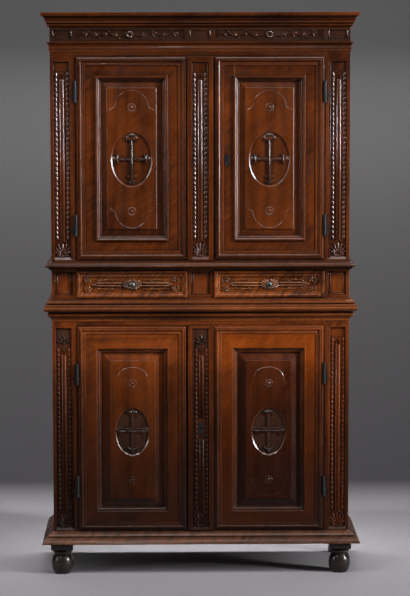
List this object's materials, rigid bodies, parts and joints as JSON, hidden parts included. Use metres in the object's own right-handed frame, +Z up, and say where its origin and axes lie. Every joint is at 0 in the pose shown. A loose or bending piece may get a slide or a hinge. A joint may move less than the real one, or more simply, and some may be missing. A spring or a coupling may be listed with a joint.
{
  "type": "two-stage cupboard",
  "caption": "Tall carved walnut cupboard in two stages: panelled doors above and below, a belt of drawers between them, moulded cornice and plinth, turned front feet",
  "frame": {"origin": "middle of the footprint, on the floor", "axes": "+X to the right seen from the front, +Y to the back (the front faces -Y), +Z up"},
  "size_m": [1.248, 0.469, 2.202],
  "materials": {
    "walnut_frame": "waxed old walnut with a straight grain",
    "walnut_panel": "waxed old walnut, figured",
    "walnut_moulding": "polished walnut with dark wax in the hollows",
    "walnut_carved": "polished walnut, dark in the sunk parts",
    "walnut_feet": "nearly black turned walnut",
    "inner_oak": "bare sawn boards gone brown",
    "forged_iron": "dark forged iron, slightly worn",
    "knob_iron": "dark turned iron, worn at the rim"
  },
  "bodies": {
    "carcass": {"architrave_moulding": "walnut_moulding", "bed_moulding": "walnut_moulding", "belt_post": "walnut_carved", "cornice_moulding": "walnut_moulding", "drawer_runners": "inner_oak", "frieze_boards": "walnut_carved", "front_feet": "walnut_feet", "hinge_pins": "forged_iron", "lower_back_boards": "inner_oak", "lower_carcass_rails": "walnut_frame", "lower_floor_board": "inner_oak", "lower_front_posts": "walnut_frame", "lower_front_rails": "walnut_frame", "lower_rear_posts": "walnut_frame", "lower_shelf": "inner_oak", "lower_side_panels": "walnut_panel", "plinth_moulding": "walnut_moulding", "roof_board": "inner_oak", "top_board": "walnut_moulding", "upper_back_boards": "inner_oak", "upper_base_moulding": "walnut_moulding", "upper_carcass_rails": "walnut_frame", "upper_floor_board": "inner_oak", "upper_front_posts": "walnut_frame", "upper_front_rails": "walnut_frame", "upper_rear_posts": "walnut_frame", "upper_shelves": "inner_oak", "upper_side_panels": "walnut_panel", "waist_moulding": "walnut_moulding"},
    "upper_left_door": {"upper_left_door_frame": "walnut_frame", "upper_left_door_irons": "forged_iron", "upper_left_door_mouldings": "walnut_moulding", "upper_left_door_panel": "walnut_panel", "upper_centre_pilaster": "walnut_carved"},
    "upper_right_door": {"upper_right_door_frame": "walnut_frame", "upper_right_door_irons": "forged_iron", "upper_right_door_mouldings": "walnut_moulding", "upper_right_door_panel": "walnut_panel", "upper_lock_case": "forged_iron"},
    "lower_left_door": {"lower_left_door_frame": "walnut_frame", "lower_left_door_irons": "forged_iron", "lower_left_door_mouldings": "walnut_moulding", "lower_left_door_panel": "walnut_panel"},
    "lower_right_door": {"lower_right_door_frame": "walnut_frame", "lower_right_door_irons": "forged_iron", "lower_right_door_mouldings": "walnut_moulding", "lower_right_door_panel": "walnut_panel", "lower_centre_pilaster": "walnut_carved", "lower_lock_case": "forged_iron"},
    "upper_lock_bolt": {"upper_lock_bolt": "forged_iron"},
    "lower_lock_bolt": {"lower_lock_bolt": "forged_iron"},
    "upper_slip_bolt": {"upper_slip_bolt": "forged_iron"},
    "lower_slip_bolt": {"lower_slip_bolt": "forged_iron"},
    "left_drawer": {"left_drawer_box": "inner_oak", "left_drawer_front": "walnut_carved", "left_drawer_knob": "knob_iron"},
    "right_drawer": {"right_drawer_box": "inner_oak", "right_drawer_front": "walnut_carved", "right_drawer_knob": "knob_iron"}
  },
  "joints": [
    {"name": "upper_left_door_swing", "type": "hinge", "parent": "carcass", "child": "upper_left_door", "pos_m": [-0.4835, -0.1967, 1.639], "axis": [0, 0, -1], "range_deg": [0, 160]},
    {"name": "upper_right_door_swing", "type": "hinge", "parent": "carcass", "child": "upper_right_door", "pos_m": [0.4835, -0.1967, 1.639], "axis": [0, 0, 1], "range_deg": [0, 160]},
    {"name": "lower_left_door_swing", "type": "hinge", "parent": "carcass", "child": "lower_left_door", "pos_m": [-0.4835, -0.1967, 0.581], "axis": [0, 0, -1], "range_deg": [0, 160]},
    {"name": "lower_right_door_swing", "type": "hinge", "parent": "carcass", "child": "lower_right_door", "pos_m": [0.4835, -0.1967, 0.581], "axis": [0, 0, 1], "range_deg": [0, 160]},
    {"name": "left_drawer_slide", "type": "slide", "parent": "carcass", "child": "left_drawer", "axis": [0, -1, 0], "range_m": [0, 0.3]},
    {"name": "right_drawer_slide", "type": "slide", "parent": "carcass", "child": "right_drawer", "axis": [0, -1, 0], "range_m": [0, 0.3]},
    {"name": "upper_lock_throw", "type": "slide", "parent": "upper_right_door", "child": "upper_lock_bolt", "axis": [-1, 0, 0], "range_m": [0, 0.012]},
    {"name": "lower_lock_throw", "type": "slide", "parent": "lower_right_door", "child": "lower_lock_bolt", "axis": [-1, 0, 0], "range_m": [0, 0.012]},
    {"name": "upper_slip_bolt_slide", "type": "slide", "parent": "upper_left_door", "child": "upper_slip_bolt", "axis": [0, 0, 1], "range_m": [0, 0.018]},
    {"name": "lower_slip_bolt_slide", "type": "slide", "parent": "lower_left_door", "child": "lower_slip_bolt", "axis": [0, 0, 1], "range_m": [0, 0.018]}
  ]
}
